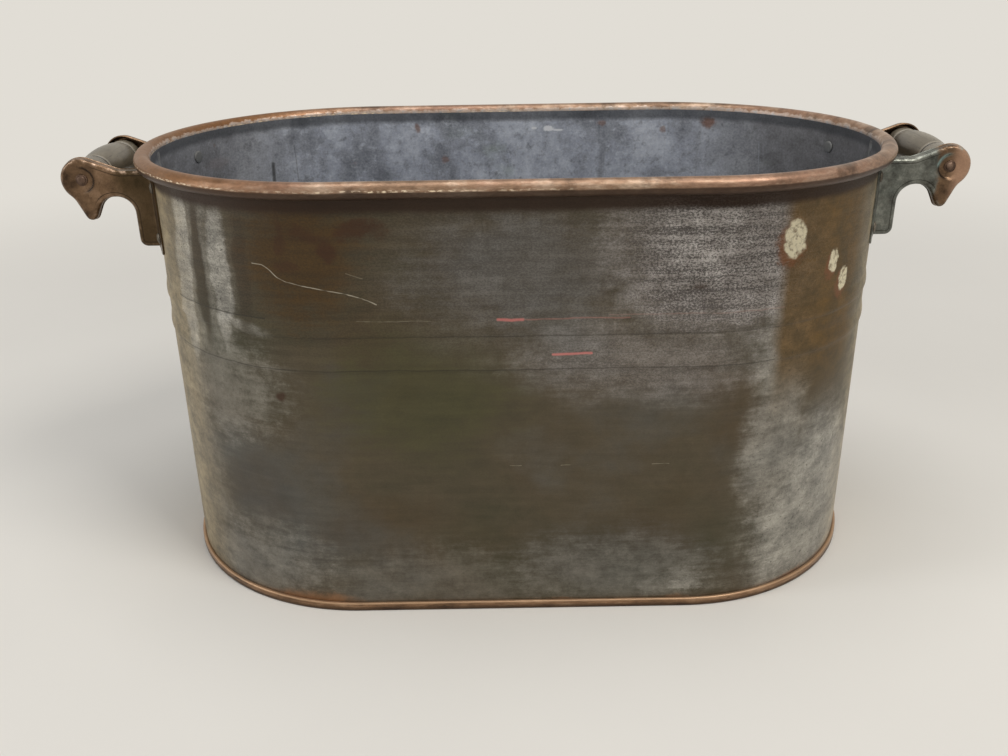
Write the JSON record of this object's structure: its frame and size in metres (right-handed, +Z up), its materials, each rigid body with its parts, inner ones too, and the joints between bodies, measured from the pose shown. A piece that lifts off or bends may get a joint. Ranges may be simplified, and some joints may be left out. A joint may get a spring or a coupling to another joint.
{
  "type": "washing tub",
  "caption": "Oval washing tub of tinned copper sheet with a wired rim, a double-seamed bottom, riveted stamped ears and wooden grips that turn on rods.",
  "frame": {"origin": "centre of the bottom, on the surface that the tub stands on", "axes": "+X along the tub's length through both grips, +Y across it to the rear, +Z up"},
  "size_m": [0.672, 0.33, 0.33],
  "materials": {
    "tinned_sheet": "satin",
    "copper_sheet": "satin",
    "steel_wire": "satin",
    "ear_copper": "satin",
    "rivet_copper": "satin",
    "rod_steel": "satin",
    "grip_wood": "satin"
  },
  "bodies": {
    "tub": {"front_sheet": "tinned_sheet", "rear_sheet": "tinned_sheet", "bottom_pan": "copper_sheet", "rim_wire": "steel_wire", "left_front_ear": "ear_copper", "left_rear_ear": "ear_copper", "right_front_ear": "ear_copper", "right_rear_ear": "ear_copper", "left_front_rivets": "rivet_copper", "left_rear_rivets": "rivet_copper", "right_front_rivets": "rivet_copper", "right_rear_rivets": "rivet_copper", "left_grip_rod": "rod_steel", "right_grip_rod": "rod_steel", "left_rod_burrs": "rivet_copper", "right_rod_burrs": "rivet_copper"},
    "left_grip": {"left_grip": "grip_wood"},
    "right_grip": {"right_grip": "grip_wood"}
  },
  "joints": [
    {"name": "left_grip_spin", "type": "hinge", "parent": "tub", "child": "left_grip", "pos_m": [-0.3205, 0, 0.3106], "axis": [0, 1, 0], "continuous": true},
    {"name": "right_grip_spin", "type": "hinge", "parent": "tub", "child": "right_grip", "pos_m": [0.3205, 0, 0.3106], "axis": [0, 1, 0], "continuous": true}
  ]
}
